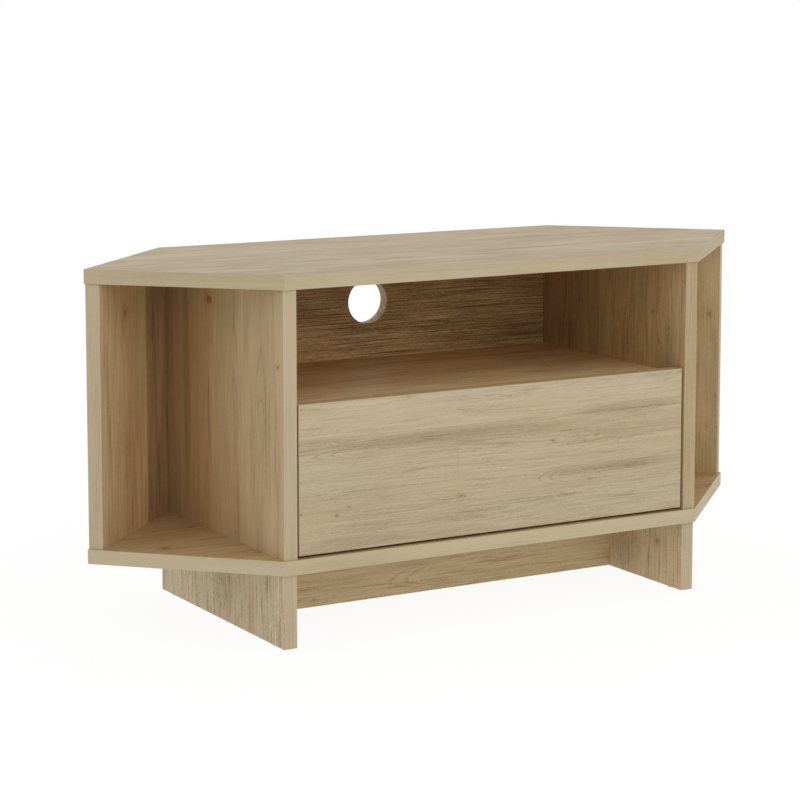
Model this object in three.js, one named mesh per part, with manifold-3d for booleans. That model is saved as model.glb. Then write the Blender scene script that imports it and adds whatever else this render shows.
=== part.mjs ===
// Corner TV cabinet of 18 mm laminated board, flat-packed, with one drawer on ball-bearing runners.
// Millimetres, +Z up. X runs along the cabinet, +Y points to the back.
// The origin lies on the floor under the middle of the six-sided top.
import * as THREE from "three";
import { mergeVertices } from "three/addons/utils/BufferGeometryUtils.js";
import Module from "manifold-3d";

const wasm = await Module();
wasm.setup();

// Driving sizes of the carcass
const slabWidth = 960;
const slabDepth = 357.5;
const boardThickness = 18;
const edgeEase = 0.5;
const bayHeight = 325;
const legHeight = 90.5;
const nicheReach = 177.75;
const dividerFrontSetback = 3;
const dividerRearSetback = 1;
const cornerPanelEndSetback = 2.75;
const cornerPanelFaceSetback = 0.5;
const cornerPanelFit = 0.3;
const legFrontSetback = 5;
const legRearSetback = 4;
const cableHoleDiameter = 60;
const cableHoleDrop = 69.75;
const drawerBayHeight = 160.5;
const fingerGap = 36;

// Driving sizes of the drawer
const drawerFrontHeight = 183.5;
const drawerFrontSetback = 5.25;
const drawerFrontGap = 3;
const drawerBoardThickness = 16;
const drawerSideHeight = 120;
const drawerRearGap = 10.25;
const drawerLift = 12;
const drawerBottomThickness = 3;
const drawerBottomInset = 10;
const grooveDepth = 8;
const grooveFit = 0.5;

// Driving sizes of the runners: rolled steel, with two rows of balls between each pair of members
const runnerWidth = 12.75;
const runnerFrontGap = 3;
const runnerRearGap = 2;
const runnerRise = 50;
const runnerBallRow = 19.7;
const sheetThickness = 1.2;
const bendRadius = 0.9;
const flangeLip = 0.8;
const ballDiameter = 3.2;
const ballClearance = 0.3;
const raceHalfAngle = THREE.MathUtils.degToRad(40);
const outerRaceOffset = 5.9;
const innerRaceOffset = 9.4;
const middleWebOffset = 3.1;
const cageSheet = 0.5;
const cageClearance = 0.4;
const cageFlangeOverhang = 1.8;
const cageSetback = 90;
const ballPitch = 16;
const ballsPerRow = 7;
const cageEndMargin = 6;

// Driving sizes of the fittings
const camDiameter = 15;
const camDepth = 12.5;
const camEdgeDistance = 34;
const camDrawerEdgeDistance = 24;
const camSlotLength = 8;
const camSlotWidth = 1.5;
const camSlotDepth = 2;
const camBoltDiameter = 6;
const camBoltReach = 11;
const boreFit = 0.3;
const cutOverrun = 2;
const backCamInset = 90;
const backCamDrop = 60;
const backCamSpacing = 200;
const shelfCamInset = 50;
const dividerCamInset = 55;
const drawerCamEdge = 18;
const drawerCamRise = 24;
const railCamRise = 40;
const screwLength = 50;
const screwDiameter = 7;
const screwHeadDiameter = 10;
const screwHeadHeight = 4;
const screwSink = 0.3;
const screwInset = 95;
const glideDiameter = 15;
const glideHeight = 2;
const glideEase = 0.5;
const glidePinDiameter = 4;
const glidePinLength = 10;
const glideInset = 30;

// Facets of the round forms
const camSides = 16;
const boltSides = 8;
const holeSides = 48;
const glideSides = 16;
const ballMeridians = 8;
const ballBands = 4;
const raceSteps = 4;
const bendSteps = 2;

// Heights and planes that the driving sizes give
const slabBase = glideHeight + legHeight;
const bayBase = slabBase + boardThickness;
const bayTop = bayBase + bayHeight;
const slabHalfWidth = slabWidth / 2;
const slabHalfDepth = slabDepth / 2;
const slabEdgeHalf = slabHalfWidth - slabHalfDepth;
const dividerInner = slabHalfWidth - nicheReach - boardThickness;
const dividerSpan = dividerInner * 2;
const dividerMiddle = dividerInner + boardThickness / 2;
const dividerOuter = dividerInner + boardThickness;
const dividerFront = -slabHalfDepth + dividerFrontSetback;
const dividerRear = slabHalfDepth - dividerRearSetback;
const backPanelFront = dividerRear - boardThickness;
const shelfBase = bayBase + drawerBayHeight;
const drawerFrontFace = -slabHalfDepth + drawerFrontSetback;
const drawerBoxFront = drawerFrontFace + boardThickness;
const shelfFront = drawerBoxFront + fingerGap;
const drawerBase = bayBase + drawerLift;
const drawerHalfWidth = dividerInner - runnerWidth;
const drawerInnerHalf = drawerHalfWidth - drawerBoardThickness;
const drawerRear = backPanelFront - drawerRearGap;
const drawerSideLength = drawerRear - drawerBoxFront;
const grooveBase = drawerBase + drawerBottomInset;
const runnerFront = drawerBoxFront + runnerFrontGap;
const runnerLength = drawerSideLength - runnerFrontGap - runnerRearGap;
const runnerHeight = drawerBase + runnerRise;
const legFront = -slabHalfDepth + legFrontSetback;
const legRear = slabHalfDepth - legRearSetback;

// Finishes
const oak = { color: 0xb8a988, roughness: 0.55, metalness: 0 };
const drawerBoard = { color: 0xbcae8f, roughness: 0.6, metalness: 0 };
const hardboard = { color: 0xc9b793, roughness: 0.7, metalness: 0 };
const zinc = { color: 0xb4b6b8, roughness: 0.35, metalness: 0.9 };
const brightSteel = { color: 0xc9cbcd, roughness: 0.25, metalness: 1 };
const palePlastic = { color: 0xcfcabb, roughness: 0.5, metalness: 0 };

const cabinet = new THREE.Group();

// Solids and meshes

function toSolid(geometry) {
  const bare = geometry.clone();
  bare.deleteAttribute("normal");
  bare.deleteAttribute("uv");
  const merged = mergeVertices(bare);
  const vertProperties = new Float32Array(merged.attributes.position.array);
  const triVerts = new Uint32Array(merged.index.array);
  return new wasm.Manifold(new wasm.Mesh({ numProp: 3, vertProperties, triVerts }));
}

function toGeometry(solid) {
  const mesh = solid.getMesh();
  const geometry = new THREE.BufferGeometry();
  geometry.setAttribute("position", new THREE.BufferAttribute(mesh.vertProperties, 3));
  geometry.setIndex(new THREE.BufferAttribute(mesh.triVerts, 1));
  geometry.computeVertexNormals();
  return geometry;
}

function addPiece(parent, name, geometry, finish, place) {
  const piece = new THREE.Mesh(geometry, new THREE.MeshStandardMaterial(finish));
  piece.name = name;
  piece.applyMatrix4(place);
  parent.add(piece);
}

function moveTo(x, y, z) {
  return new THREE.Matrix4().makeTranslation(x, y, z);
}

// The cuts stand in the cabinet's frame, so each is brought into the piece's own frame first.
function cutAway(geometry, place, cuts) {
  const inverse = place.clone().invert();
  let solid = toSolid(geometry);
  for (const cut of cuts) {
    solid = solid.subtract(toSolid(cut.clone().applyMatrix4(inverse)));
  }
  return toGeometry(solid);
}

function outlineOf(points) {
  return new THREE.Shape(points.map(([x, y]) => new THREE.Vector2(x, y)));
}

function rectangleCorners(wide, high) {
  const x = wide / 2;
  const y = high / 2;
  return [
    [-x, -y],
    [x, -y],
    [x, y],
    [-x, y],
  ];
}

// An outline whose corners are taken off, as a scraper leaves an edge band.
function easedOutline(corners) {
  const points = corners.map(([x, y]) => new THREE.Vector2(x, y));
  const eased = points.flatMap((corner, index) => {
    const before = points.at(index - 1);
    const after = points[(index + 1) % points.length];
    return [before, after].map((next) => {
      const way = next.clone().sub(corner).setLength(edgeEase);
      return corner.clone().add(way);
    });
  });
  return new THREE.Shape(eased);
}

// A board with its four edges along one axis eased. Its ends on that axis stay square, to butt.
function boardBlank(size, along) {
  const sections = {
    x: [size.z, size.y, size.x],
    y: [size.x, size.z, size.y],
    z: [size.x, size.y, size.z],
  };
  const [wide, high, long] = sections[along];
  const section = easedOutline(rectangleCorners(wide, high));
  const blank = new THREE.ExtrudeGeometry(section, { depth: long, bevelEnabled: false });
  blank.translate(0, 0, -long / 2);
  if (along === "x") {
    blank.rotateY(Math.PI / 2);
  }
  if (along === "y") {
    blank.rotateX(Math.PI / 2);
  }
  return blank;
}

// A board lying flat with its upper and lower edges eased all round.
function panelBlank(outline) {
  const blank = new THREE.ExtrudeGeometry(outline, {
    depth: boardThickness - edgeEase * 2,
    bevelThickness: edgeEase,
    bevelSize: edgeEase,
    bevelOffset: -edgeEase,
    bevelSegments: 1,
  });
  return blank.translate(0, 0, edgeEase);
}

function addBoard(parent, name, size, along, place, cuts, finish = oak) {
  const blank = boardBlank(size, along);
  addPiece(parent, name, cutAway(blank, place, cuts), finish, place);
}

function rod(diameter, length, sides) {
  return new THREE.CylinderGeometry(diameter / 2, diameter / 2, length, sides);
}

// Fittings. A cam lock's own frame has Z out of the board's face and X along its bolt.

function lockFrame(at, faceOut, boltWay) {
  const across = new THREE.Vector3().crossVectors(faceOut, boltWay);
  return new THREE.Matrix4().makeBasis(boltWay, across, faceOut).setPosition(at);
}

function camRound(fit, overrun) {
  const depth = camDepth + fit + overrun;
  const round = rod(camDiameter + fit * 2, depth, camSides).rotateX(Math.PI / 2);
  return round.translate(0, 0, overrun - depth / 2);
}

function camBolt(lock, fit) {
  const reach = lock.edgeDistance + camBoltReach + fit;
  const bolt = rod(camBoltDiameter + fit * 2, reach, boltSides).rotateZ(Math.PI / 2);
  return bolt.translate(reach / 2, 0, -lock.thickness / 2);
}

function camSlot(turn) {
  const slot = new THREE.BoxGeometry(camSlotLength, camSlotWidth, camSlotDepth * 2);
  return slot.rotateZ(turn);
}

function addCamLock(parent, lock) {
  const body = toSolid(camRound(0, 0)).add(toSolid(camBolt(lock, 0)));
  const slotted = body.subtract(toSolid(camSlot(0))).subtract(toSolid(camSlot(Math.PI / 2)));
  addPiece(parent, lock.name, toGeometry(slotted), zinc, lock.frame);
}

function camBores(lock) {
  const pocket = camRound(boreFit, cutOverrun).applyMatrix4(lock.frame);
  const boltHole = camBolt(lock, boreFit).applyMatrix4(lock.frame);
  return [pocket, boltHole];
}

function camLock(name, at, faceOut, boltWay, thickness = boardThickness, edge = camEdgeDistance) {
  const frame = lockFrame(at, faceOut, boltWay);
  return { name, frame, thickness, edgeDistance: edge };
}

// Outlines

function sixSidedOutline() {
  return outlineOf([
    [-slabEdgeHalf, -slabHalfDepth],
    [slabEdgeHalf, -slabHalfDepth],
    [slabHalfWidth, 0],
    [slabEdgeHalf, slabHalfDepth],
    [-slabEdgeHalf, slabHalfDepth],
    [-slabHalfWidth, 0],
  ]);
}

function drawerFrontOutline() {
  const wide = (dividerInner - drawerFrontGap) * 2;
  return outlineOf(rectangleCorners(wide, drawerFrontHeight));
}

// Where the boards stand

const unitX = new THREE.Vector3(1, 0, 0);
const unitY = new THREE.Vector3(0, 1, 0);
const unitZ = new THREE.Vector3(0, 0, 1);
const sides = [
  { word: "left", sign: -1 },
  { word: "right", sign: 1 },
];

// A corner panel lies along the rear slanted edge. Its length is that of its inner face. Its outer
// face is longer, because the end at the divider is mitred to lie flat on it.
function cornerPanelPlan(side) {
  const along = new THREE.Vector3(-side.sign, 1, 0).normalize();
  const outward = new THREE.Vector3(side.sign, 1, 0).normalize();
  const tip = new THREE.Vector3(side.sign * slabHalfWidth, 0, bayBase + bayHeight / 2);
  const middleDepth = cornerPanelFaceSetback + boardThickness / 2;
  const outerEnd = tip.clone().addScaledVector(along, cornerPanelEndSetback);
  outerEnd.addScaledVector(outward, -middleDepth);
  const innerFace = outerEnd.clone().addScaledVector(outward, -boardThickness / 2);
  const toDivider = Math.abs(innerFace.x) - dividerOuter - cornerPanelFit;
  const length = toDivider / Math.abs(along.x);
  const centre = outerEnd.clone().addScaledVector(along, length / 2);
  return { along, outward, centre, length };
}

function cornerPanelLocks(side) {
  const plan = cornerPanelPlan(side);
  const face = plan.centre.clone().addScaledVector(plan.outward, boardThickness / 2);
  const reach = bayHeight / 2 - camEdgeDistance;
  return [
    { word: "upper", way: 1 },
    { word: "lower", way: -1 },
  ].map((end) => {
    const at = face.clone().addScaledVector(unitZ, reach * end.way);
    const boltWay = unitZ.clone().multiplyScalar(end.way);
    return camLock(`cam_lock_${side.word}_corner_${end.word}`, at, plan.outward, boltWay);
  });
}

function backPanelLocks(side) {
  const toSide = unitX.clone().multiplyScalar(side.sign);
  const sideX = side.sign * (dividerInner - camEdgeDistance);
  const topX = side.sign * (dividerInner - backCamInset);
  const top = new THREE.Vector3(topX, dividerRear, bayTop - camEdgeDistance);
  const high = new THREE.Vector3(sideX, dividerRear, bayTop - backCamDrop);
  const low = new THREE.Vector3(sideX, dividerRear, high.z - backCamSpacing);
  return [
    camLock(`cam_lock_back_${side.word}_top`, top, unitY, unitZ),
    camLock(`cam_lock_back_${side.word}_high`, high, unitY, toSide),
    camLock(`cam_lock_back_${side.word}_low`, low, unitY, toSide),
  ];
}

function shelfLocks(side) {
  const down = unitZ.clone().negate();
  const toSide = unitX.clone().multiplyScalar(side.sign);
  const x = side.sign * (dividerInner - camEdgeDistance);
  const front = new THREE.Vector3(x, shelfFront + shelfCamInset, shelfBase);
  const rear = new THREE.Vector3(x, backPanelFront - shelfCamInset, shelfBase);
  return [
    camLock(`cam_lock_shelf_${side.word}_front`, front, down, toSide),
    camLock(`cam_lock_shelf_${side.word}_rear`, rear, down, toSide),
  ];
}

function dividerLocks(side) {
  const down = unitZ.clone().negate();
  const inward = unitX.clone().multiplyScalar(-side.sign);
  const x = side.sign * dividerInner;
  const front = new THREE.Vector3(x, dividerFront + dividerCamInset, bayBase + camEdgeDistance);
  const rear = new THREE.Vector3(x, dividerRear - dividerCamInset, bayBase + camEdgeDistance);
  return [
    camLock(`cam_lock_${side.word}_divider_front`, front, inward, down),
    camLock(`cam_lock_${side.word}_divider_rear`, rear, inward, down),
  ];
}

function railLock(side) {
  const toSide = unitX.clone().multiplyScalar(side.sign);
  const x = side.sign * (dividerInner - camEdgeDistance);
  const at = new THREE.Vector3(x, boardThickness / 2, glideHeight + railCamRise);
  return camLock(`cam_lock_rail_${side.word}`, at, unitY, toSide);
}

function drawerLocks(side) {
  const outward = unitX.clone().multiplyScalar(side.sign);
  const forward = unitY.clone().negate();
  const x = side.sign * drawerHalfWidth;
  const y = drawerBoxFront + camDrawerEdgeDistance;
  const lowZ = drawerBase + drawerCamRise;
  const highZ = drawerBase + drawerSideHeight - drawerCamEdge;
  return [
    { word: "lower", z: lowZ },
    { word: "upper", z: highZ },
  ].map((row) => {
    const at = new THREE.Vector3(x, y, row.z);
    const name = `cam_lock_drawer_${side.word}_${row.word}`;
    return camLock(name, at, outward, forward, drawerBoardThickness, camDrawerEdgeDistance);
  });
}

const cornerLocks = sides.flatMap(cornerPanelLocks);
const backLocks = sides.flatMap(backPanelLocks);
const shelfLockList = sides.flatMap(shelfLocks);
const dividerLockList = sides.flatMap(dividerLocks);
const railLocks = sides.map(railLock);
const drawerLockList = sides.flatMap(drawerLocks);

function boresOf(locks) {
  return locks.flatMap(camBores);
}

// One-piece screws go down through the bottom slab into the legs. The dividers cover their heads.

const screwPlaces = sides.flatMap((side) => [
  { name: `${side.word}_leg_screw_front`, x: side.sign * dividerMiddle, y: legFront + screwInset },
  { name: `${side.word}_leg_screw_rear`, x: side.sign * dividerMiddle, y: legRear - screwInset },
]);

function screwShape(fit, top) {
  const headRadius = screwHeadDiameter / 2 + fit;
  const shankRadius = screwDiameter / 2 + fit;
  const headBase = -screwSink - screwHeadHeight - fit;
  const tip = -screwSink - screwLength - fit;
  const profile = [
    new THREE.Vector2(0, tip),
    new THREE.Vector2(shankRadius, tip),
    new THREE.Vector2(shankRadius, headBase),
    new THREE.Vector2(headRadius, headBase),
    new THREE.Vector2(headRadius, top),
    new THREE.Vector2(0, top),
  ];
  return new THREE.LatheGeometry(profile, boltSides).rotateX(Math.PI / 2);
}

function screwBore(place) {
  return screwShape(boreFit, cutOverrun).translate(place.x, place.y, bayBase);
}

function addLegScrews() {
  for (const place of screwPlaces) {
    const at = moveTo(place.x, place.y, bayBase);
    addPiece(cabinet, place.name, screwShape(0, -screwSink), zinc, at);
  }
}

// Nail-in glides under the legs

const glidePlaces = sides.flatMap((side) => [
  { name: `${side.word}_glide_front`, x: side.sign * dividerMiddle, y: legFront + glideInset },
  { name: `${side.word}_glide_rear`, x: side.sign * dividerMiddle, y: legRear - glideInset },
]);

function glideShape() {
  const profile = [
    new THREE.Vector2(0, 0),
    new THREE.Vector2(glideDiameter / 2 - glideEase, 0),
    new THREE.Vector2(glideDiameter / 2, glideEase),
    new THREE.Vector2(glideDiameter / 2, glideHeight),
    new THREE.Vector2(glidePinDiameter / 2, glideHeight),
    new THREE.Vector2(glidePinDiameter / 2, glideHeight + glidePinLength),
    new THREE.Vector2(0, glideHeight + glidePinLength),
  ];
  return new THREE.LatheGeometry(profile, glideSides).rotateX(Math.PI / 2);
}

function glideBore(place) {
  const depth = glidePinLength + boreFit + cutOverrun;
  const bore = rod(glidePinDiameter + boreFit * 2, depth, glideSides).rotateX(Math.PI / 2);
  return bore.translate(place.x, place.y, glideHeight - cutOverrun + depth / 2);
}

function addGlides() {
  for (const place of glidePlaces) {
    addPiece(cabinet, place.name, glideShape(), palePlastic, moveTo(place.x, place.y, 0));
  }
}

// Carcass boards

function addTopPanel() {
  const place = moveTo(0, 0, bayTop);
  const cuts = boresOf([...cornerLocks, ...backLocks]);
  const blank = panelBlank(sixSidedOutline());
  addPiece(cabinet, "top_panel", cutAway(blank, place, cuts), oak, place);
}

function addBottomPanel() {
  const place = moveTo(0, 0, slabBase);
  const cuts = [...boresOf([...cornerLocks, ...dividerLockList]), ...screwPlaces.map(screwBore)];
  const blank = panelBlank(sixSidedOutline());
  addPiece(cabinet, "bottom_panel", cutAway(blank, place, cuts), oak, place);
}

function addDivider(side) {
  const size = new THREE.Vector3(boardThickness, dividerRear - dividerFront, bayHeight);
  const middleY = (dividerFront + dividerRear) / 2;
  const place = moveTo(side.sign * dividerMiddle, middleY, bayBase + bayHeight / 2);
  const cuts = boresOf([...backLocks, ...shelfLockList, ...dividerLockList]);
  addBoard(cabinet, `${side.word}_divider`, size, "z", place, cuts);
}

function cornerPanelBlank(side, length) {
  const toDivider = -side.sign;
  const half = length / 2;
  const face = boardThickness / 2;
  const outline = easedOutline([
    [-half * toDivider, -face],
    [half * toDivider, -face],
    [(half + boardThickness) * toDivider, face],
    [-half * toDivider, face],
  ]);
  const blank = new THREE.ExtrudeGeometry(outline, { depth: bayHeight, bevelEnabled: false });
  return blank.translate(0, 0, -bayHeight / 2);
}

function addCornerPanel(side) {
  const plan = cornerPanelPlan(side);
  const blank = cornerPanelBlank(side, plan.length);
  const xAxis = plan.along.clone().multiplyScalar(-side.sign);
  const place = new THREE.Matrix4().makeBasis(xAxis, plan.outward, unitZ);
  place.setPosition(plan.centre);
  const panel = cutAway(blank, place, boresOf(cornerLocks));
  addPiece(cabinet, `${side.word}_corner_panel`, panel, oak, place);
}

function cableHole() {
  const hole = rod(cableHoleDiameter, boardThickness + cutOverrun * 2, holeSides);
  return hole.translate(0, backPanelFront + boardThickness / 2, bayTop - cableHoleDrop);
}

function addBackPanel() {
  const size = new THREE.Vector3(dividerSpan, boardThickness, bayHeight);
  const place = moveTo(0, backPanelFront + boardThickness / 2, bayBase + bayHeight / 2);
  addBoard(cabinet, "back_panel", size, "x", place, [...boresOf(backLocks), cableHole()]);
}

function addShelf() {
  const size = new THREE.Vector3(dividerSpan, backPanelFront - shelfFront, boardThickness);
  const middleY = (shelfFront + backPanelFront) / 2;
  const place = moveTo(0, middleY, shelfBase + boardThickness / 2);
  addBoard(cabinet, "shelf", size, "x", place, boresOf(shelfLockList));
}

function addLeg(side) {
  const size = new THREE.Vector3(boardThickness, legRear - legFront, legHeight);
  const place = moveTo(side.sign * dividerMiddle, (legFront + legRear) / 2, glideHeight + legHeight / 2);
  const cuts = [...boresOf(railLocks), ...screwPlaces.map(screwBore), ...glidePlaces.map(glideBore)];
  addBoard(cabinet, `${side.word}_leg`, size, "z", place, cuts);
}

function addPlinthRail() {
  const size = new THREE.Vector3(dividerSpan, boardThickness, legHeight);
  const place = moveTo(0, 0, glideHeight + legHeight / 2);
  addBoard(cabinet, "plinth_rail", size, "x", place, boresOf(railLocks));
}

// Drawer box: the bottom slides in grooves of the sides and the front, and runs under the back.

function bottomGroove() {
  const width = (drawerInnerHalf + grooveDepth) * 2;
  const front = drawerBoxFront - grooveDepth;
  const length = drawerRear + cutOverrun - front;
  const height = drawerBottomThickness + grooveFit;
  const groove = new THREE.BoxGeometry(width, length, height);
  return groove.translate(0, front + length / 2, grooveBase + height / 2);
}

function addDrawerFront(drawer) {
  const blank = panelBlank(drawerFrontOutline());
  blank.translate(0, 0, -boardThickness / 2).rotateX(Math.PI / 2);
  const middleZ = bayBase + drawerFrontGap + drawerFrontHeight / 2;
  const place = moveTo(0, drawerFrontFace + boardThickness / 2, middleZ);
  const cuts = [...boresOf(drawerLockList), bottomGroove()];
  addPiece(drawer, "drawer_front", cutAway(blank, place, cuts), oak, place);
}

function addDrawerSide(drawer, side) {
  const size = new THREE.Vector3(drawerBoardThickness, drawerSideLength, drawerSideHeight);
  const x = side.sign * (drawerInnerHalf + drawerBoardThickness / 2);
  const place = moveTo(x, drawerBoxFront + drawerSideLength / 2, drawerBase + drawerSideHeight / 2);
  const cuts = [...boresOf(drawerLockList), bottomGroove()];
  addBoard(drawer, `drawer_${side.word}_side`, size, "y", place, cuts, drawerBoard);
}

function addDrawerBack(drawer) {
  const base = grooveBase + drawerBottomThickness;
  const height = drawerBase + drawerSideHeight - base;
  const size = new THREE.Vector3(drawerInnerHalf * 2, drawerBoardThickness, height);
  const place = moveTo(0, drawerRear - drawerBoardThickness / 2, base + height / 2);
  addBoard(drawer, "drawer_back", size, "x", place, [], drawerBoard);
}

function addDrawerBottom(drawer) {
  const front = drawerBoxFront - grooveDepth + grooveFit;
  const length = drawerRear - front;
  const width = (drawerInnerHalf + grooveDepth - grooveFit) * 2;
  const size = new THREE.Vector3(width, length, drawerBottomThickness);
  const place = moveTo(0, front + length / 2, grooveBase + drawerBottomThickness / 2);
  const sheet = new THREE.BoxGeometry(size.x, size.y, size.z);
  addPiece(drawer, "drawer_bottom", sheet, hardboard, place);
}

// Runners. A section is drawn with X as the distance from the divider and Y as the height over the
// runner's middle. Each member is one bent sheet, given by its middle line from web to lip.

const raceRadius = ballDiameter / 2 + ballClearance + sheetThickness / 2;
const raceHalfWidth = raceRadius * Math.sin(raceHalfAngle);
const raceShoulder = raceRadius * Math.cos(raceHalfAngle);
const outerBall = new THREE.Vector2(outerRaceOffset, runnerBallRow);
const innerBall = new THREE.Vector2(innerRaceOffset, runnerBallRow - raceShoulder * 2);

function arcPoints(centre, radius, from, to, steps) {
  const points = [];
  for (let step = 0; step <= steps; step += 1) {
    const angle = from + ((to - from) * step) / steps;
    const x = centre.x + radius * Math.cos(angle);
    const y = centre.y + radius * Math.sin(angle);
    points.push(new THREE.Vector2(x, y));
  }
  return points;
}

// The groove over a ball row, or under it, walked along the flange away from the web.
function racePoints(ball, over, away) {
  const middle = (over * Math.PI) / 2;
  const swing = -over * away * raceHalfAngle;
  return arcPoints(ball, raceRadius, middle - swing, middle + swing, raceSteps);
}

// The bend where the web at webX turns into the flange at height flangeY.
function bendPoints(webX, flangeY, away) {
  const centre = new THREE.Vector2(webX + away * bendRadius, flangeY - bendRadius);
  const start = away > 0 ? Math.PI : 0;
  return arcPoints(centre, bendRadius, start, Math.PI / 2, bendSteps);
}

function mirroredLine(upper) {
  const lower = upper.map((point) => new THREE.Vector2(point.x, -point.y));
  return [...lower.reverse(), ...upper];
}

function shiftedLine(line, distance) {
  return line.map((point, index) => {
    const before = line[Math.max(index - 1, 0)];
    const after = line[Math.min(index + 1, line.length - 1)];
    const arriving = point.clone().sub(before).normalize();
    const leaving = after.clone().sub(point).normalize();
    const heading = arriving.add(leaving).normalize();
    const turned = new THREE.Vector2(-heading.y, heading.x);
    const halfTurn = index > 0 && index < line.length - 1 ? heading.dot(leaving) : 1;
    return point.clone().addScaledVector(turned, distance / halfTurn);
  });
}

// A sheet that follows the line, closed over its whole length, which runs along Y about zero.
function bentSheet(line, thickness, length) {
  const near = shiftedLine(line, thickness / 2);
  const far = shiftedLine(line, -thickness / 2);
  const corners = line.flatMap((_, index) => [
    [near[index], -length / 2],
    [far[index], -length / 2],
    [near[index], length / 2],
    [far[index], length / 2],
  ]);
  const position = corners.flatMap(([point, y]) => [point.x, y, point.y]);
  const faces = [];
  const addQuad = (a, b, c, d) => faces.push(a, b, c, a, c, d);
  const cornersPerStep = 4;
  const last = (line.length - 1) * cornersPerStep;
  const [nearFront, farFront, nearBack, farBack] = [0, 1, 2, 3];
  for (let here = 0; here < last; here += cornersPerStep) {
    const next = here + cornersPerStep;
    addQuad(here + nearFront, next + nearFront, next + nearBack, here + nearBack);
    addQuad(here + farFront, here + farBack, next + farBack, next + farFront);
    addQuad(here + farFront, next + farFront, next + nearFront, here + nearFront);
    addQuad(here + farBack, here + nearBack, next + nearBack, next + farBack);
  }
  addQuad(farFront, nearFront, nearBack, farBack);
  addQuad(last + farFront, last + farBack, last + nearBack, last + nearFront);
  const geometry = new THREE.BufferGeometry();
  geometry.setAttribute("position", new THREE.Float32BufferAttribute(position, 3));
  geometry.setIndex(faces);
  geometry.computeVertexNormals();
  return geometry;
}

function cabinetMemberLine() {
  const flange = outerBall.y + raceShoulder;
  const lip = new THREE.Vector2(outerBall.x + raceHalfWidth + flangeLip, flange);
  const bend = bendPoints(sheetThickness / 2, flange, 1);
  return mirroredLine([...bend, ...racePoints(outerBall, 1, 1), lip]);
}

function middleMemberLine() {
  const flange = outerBall.y - raceShoulder;
  const lip = new THREE.Vector2(innerBall.x + raceHalfWidth + flangeLip / 2, flange);
  const bend = bendPoints(middleWebOffset, flange, 1);
  const races = [...racePoints(outerBall, -1, 1), ...racePoints(innerBall, 1, 1)];
  return mirroredLine([...bend, ...races, lip]);
}

function drawerMemberLine() {
  const flange = innerBall.y - raceShoulder;
  const lip = new THREE.Vector2(innerBall.x - raceHalfWidth - flangeLip, flange);
  const bend = bendPoints(runnerWidth - sheetThickness / 2, flange, -1);
  return mirroredLine([...bend, ...racePoints(innerBall, -1, -1), lip]);
}

// A runner has the same section seen from either end, so the right one is the left one turned round.
function runnerPlace(side, middleY) {
  const turn = side.sign > 0 ? Math.PI : 0;
  const place = new THREE.Matrix4().makeRotationZ(turn);
  return place.setPosition(side.sign * dividerInner, middleY, runnerHeight);
}

function addMember(parent, name, line, side) {
  const sheet = bentSheet(line, sheetThickness, runnerLength);
  addPiece(parent, name, sheet, zinc, runnerPlace(side, runnerFront + runnerLength / 2));
}

// A ball cage is a thin strip bent to a C, with the balls of the upper and the lower row in it.

const cageLength = ballPitch * (ballsPerRow - 1) + ballDiameter + cageEndMargin * 2;

function cageLine(webX, ball) {
  const corner = new THREE.Vector2(webX, ball.y);
  const end = new THREE.Vector2(ball.x + cageFlangeOverhang, ball.y);
  return mirroredLine([corner, end]);
}

function cageBall(x, y, z) {
  const ball = new THREE.SphereGeometry(ballDiameter / 2, ballMeridians, ballBands);
  return ball.translate(x, y, z);
}

function addCage(parent, name, webX, ball, side) {
  let solid = toSolid(bentSheet(cageLine(webX, ball), cageSheet, cageLength));
  for (let index = 0; index < ballsPerRow; index += 1) {
    const y = ballPitch * (index - (ballsPerRow - 1) / 2);
    for (const z of [ball.y, -ball.y]) {
      solid = solid.add(toSolid(cageBall(ball.x, y, z)));
    }
  }
  const place = runnerPlace(side, runnerFront + cageSetback + cageLength / 2);
  addPiece(parent, name, toGeometry(solid), brightSteel, place);
}

function addRunner(side, drawer) {
  const outerWeb = sheetThickness + cageClearance + cageSheet / 2;
  const innerWeb = middleWebOffset + sheetThickness / 2 + cageClearance + cageSheet / 2;
  addMember(cabinet, `${side.word}_runner_cabinet_member`, cabinetMemberLine(), side);
  addMember(cabinet, `${side.word}_runner_middle_member`, middleMemberLine(), side);
  addMember(drawer, `${side.word}_runner_drawer_member`, drawerMemberLine(), side);
  addCage(cabinet, `${side.word}_runner_outer_cage`, outerWeb, outerBall, side);
  addCage(cabinet, `${side.word}_runner_inner_cage`, innerWeb, innerBall, side);
}

function addDrawer() {
  const drawer = new THREE.Group();
  addDrawerFront(drawer);
  sides.forEach((side) => addDrawerSide(drawer, side));
  addDrawerBack(drawer);
  addDrawerBottom(drawer);
  drawerLockList.forEach((lock) => addCamLock(drawer, lock));
  sides.forEach((side) => addRunner(side, drawer));
  cabinet.add(drawer);
}

function addCarcass() {
  addTopPanel();
  addBottomPanel();
  sides.forEach(addDivider);
  sides.forEach(addCornerPanel);
  addBackPanel();
  addShelf();
  sides.forEach(addLeg);
  addPlinthRail();
  const locks = [cornerLocks, backLocks, shelfLockList, dividerLockList, railLocks];
  locks.flat().forEach((lock) => addCamLock(cabinet, lock));
  addLegScrews();
  addGlides();
}

addCarcass();
addDrawer();

export default cabinet;
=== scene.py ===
# %% [markdown]
# This lesson dresses a flat-packed corner TV cabinet. Its boards, runners and fittings come in as
# measured meshes that stay where they are. The lesson adds what a camera sees: the printed oak
# grain, the edge bands, the metal of the fittings, the small screws, the studio and the camera.
# Lengths are metres. X runs along the cabinet, +Y points to its back and +Z up.

import math

import bmesh
import bpy
from mathutils import Matrix, Vector


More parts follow.
